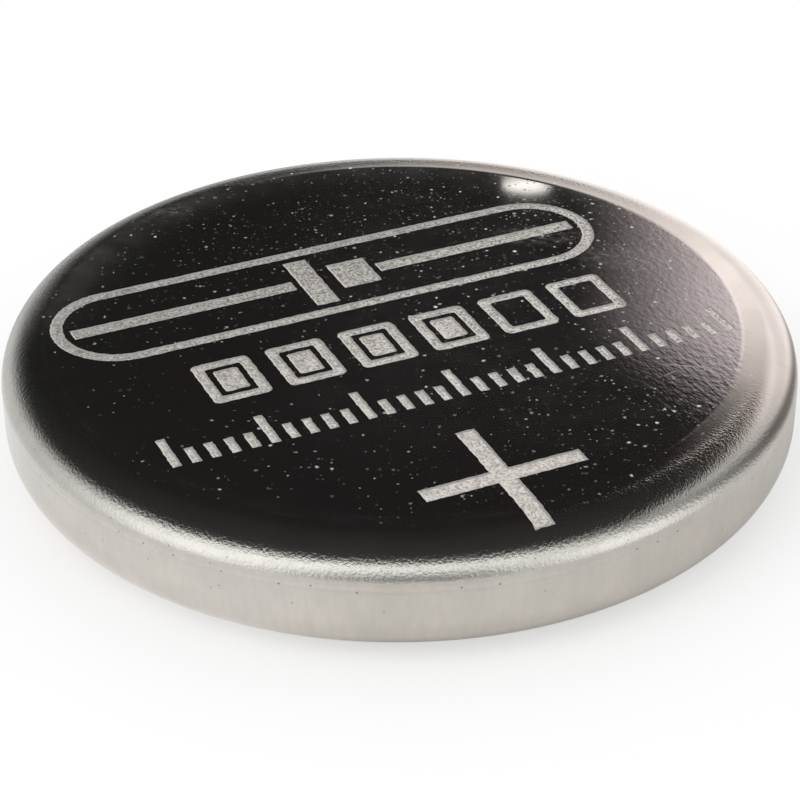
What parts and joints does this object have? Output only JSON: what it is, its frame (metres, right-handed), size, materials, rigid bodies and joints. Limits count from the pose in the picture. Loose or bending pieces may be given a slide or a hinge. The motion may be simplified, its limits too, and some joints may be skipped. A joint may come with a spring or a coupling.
{
  "type": "lithium coin cell",
  "caption": "Round flat lithium coin cell: drawn metal can crimped over a seal and a stepped cap, with lithium, separator, pellet and collector inside.",
  "frame": {"origin": "centre of the negative contact's outside face, on which the cell lies", "axes": "+Z along the cell's axis, from the negative contact to the positive face; +X and +Y are any two level directions"},
  "size_m": [0.02, 0.02, 0.0032],
  "materials": {
    "can_steel": "bright nickel plate",
    "cap_steel": "satin nickel plate",
    "seal_plastic": "moulded polypropylene",
    "lithium_foil": "soft dull metal",
    "separator_nonwoven": "fine nonwoven",
    "cathode_mix": "pressed powder",
    "collector_metal": "plain rolled sheet"
  },
  "bodies": {
    "root": {"positive_can": "can_steel", "gasket": "seal_plastic", "negative_cap": "cap_steel", "lithium_disc": "lithium_foil", "separator": "separator_nonwoven", "cathode_pellet": "cathode_mix", "collector_grid": "collector_metal"}
  },
  "joints": []
}
